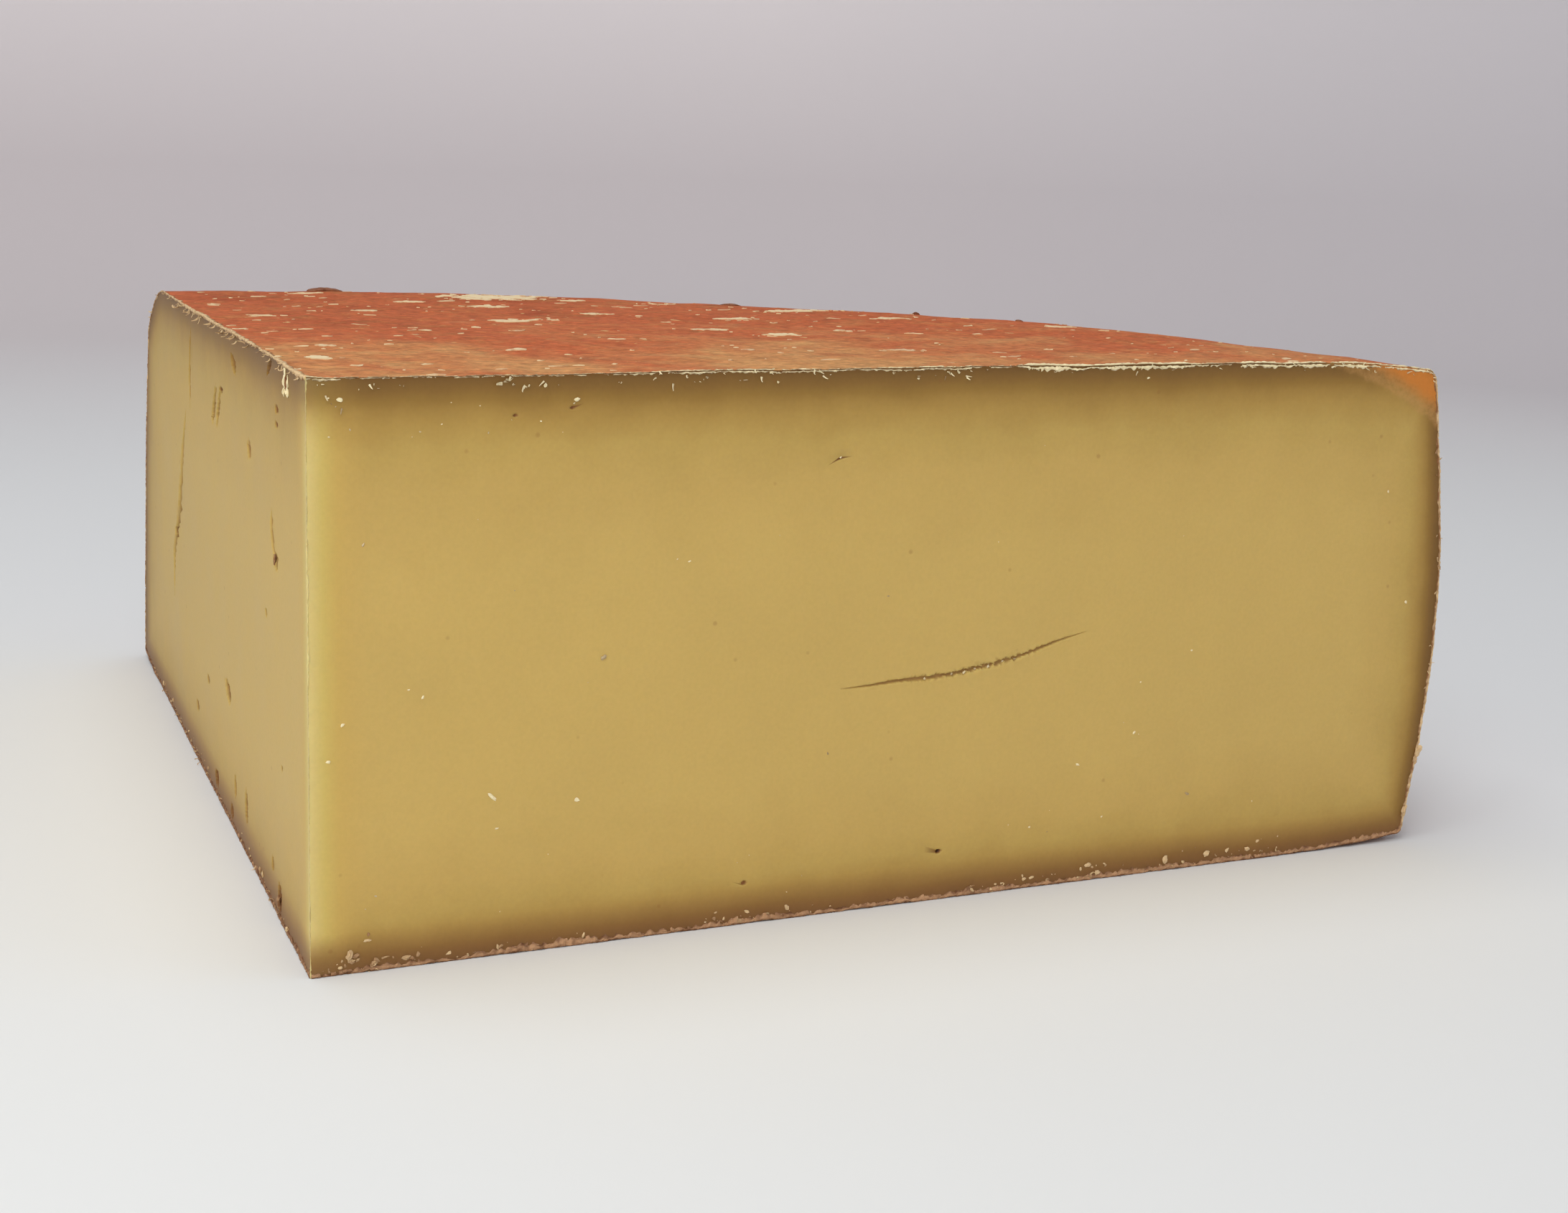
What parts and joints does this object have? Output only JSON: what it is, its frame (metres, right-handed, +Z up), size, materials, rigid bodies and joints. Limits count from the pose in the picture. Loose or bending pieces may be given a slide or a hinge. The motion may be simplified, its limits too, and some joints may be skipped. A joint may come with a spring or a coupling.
{
  "type": "cut quarter of a hard cheese wheel",
  "caption": "Quarter of a washed-rind mountain cheese wheel with flat cut faces, a reddish crusty rind and a bulging heel, standing on its flat underside.",
  "frame": {"origin": "on the resting plane, under the middle of the quarter's box as seen from above", "axes": "+Z up out of the upper rind; the front cut faces -Y and runs along X from the tip at low X to the heel at high X; the left cut starts at the tip and runs almost along +Y"},
  "size_m": [0.2814, 0.3048, 0.12],
  "materials": {
    "cheese": "waxy straw-yellow paste on the cuts, dull orange-red crusty rind elsewhere"
  },
  "bodies": {
    "root": {"cheese_quarter": "cheese"}
  },
  "joints": []
}
